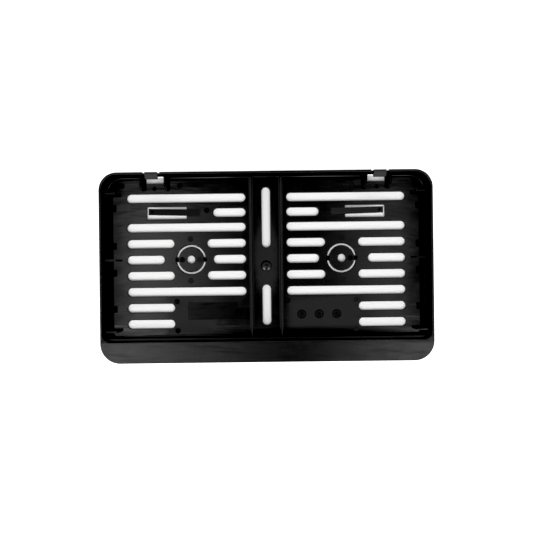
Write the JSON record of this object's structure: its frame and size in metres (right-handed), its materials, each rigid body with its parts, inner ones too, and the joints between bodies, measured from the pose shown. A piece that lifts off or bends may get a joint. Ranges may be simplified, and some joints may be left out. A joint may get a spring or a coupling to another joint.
{
  "type": "number plate holder",
  "caption": "Shallow black moulded tray that holds a car number plate: slotted base, thin raised rim, deep lower band, snap hooks in the top wall and spring tongues.",
  "frame": {"origin": "centre of the outline on the flat back face", "axes": "+Z out of the front, towards the viewer; +Y up on the car; +X to the viewer's right"},
  "size_m": [0.311, 0.1782, 0.018],
  "materials": {
    "black_plastic": "satin moulded black plastic, finely grained base, smoother lower band"
  },
  "bodies": {
    "root": {"plate_holder": "black_plastic"}
  },
  "joints": []
}
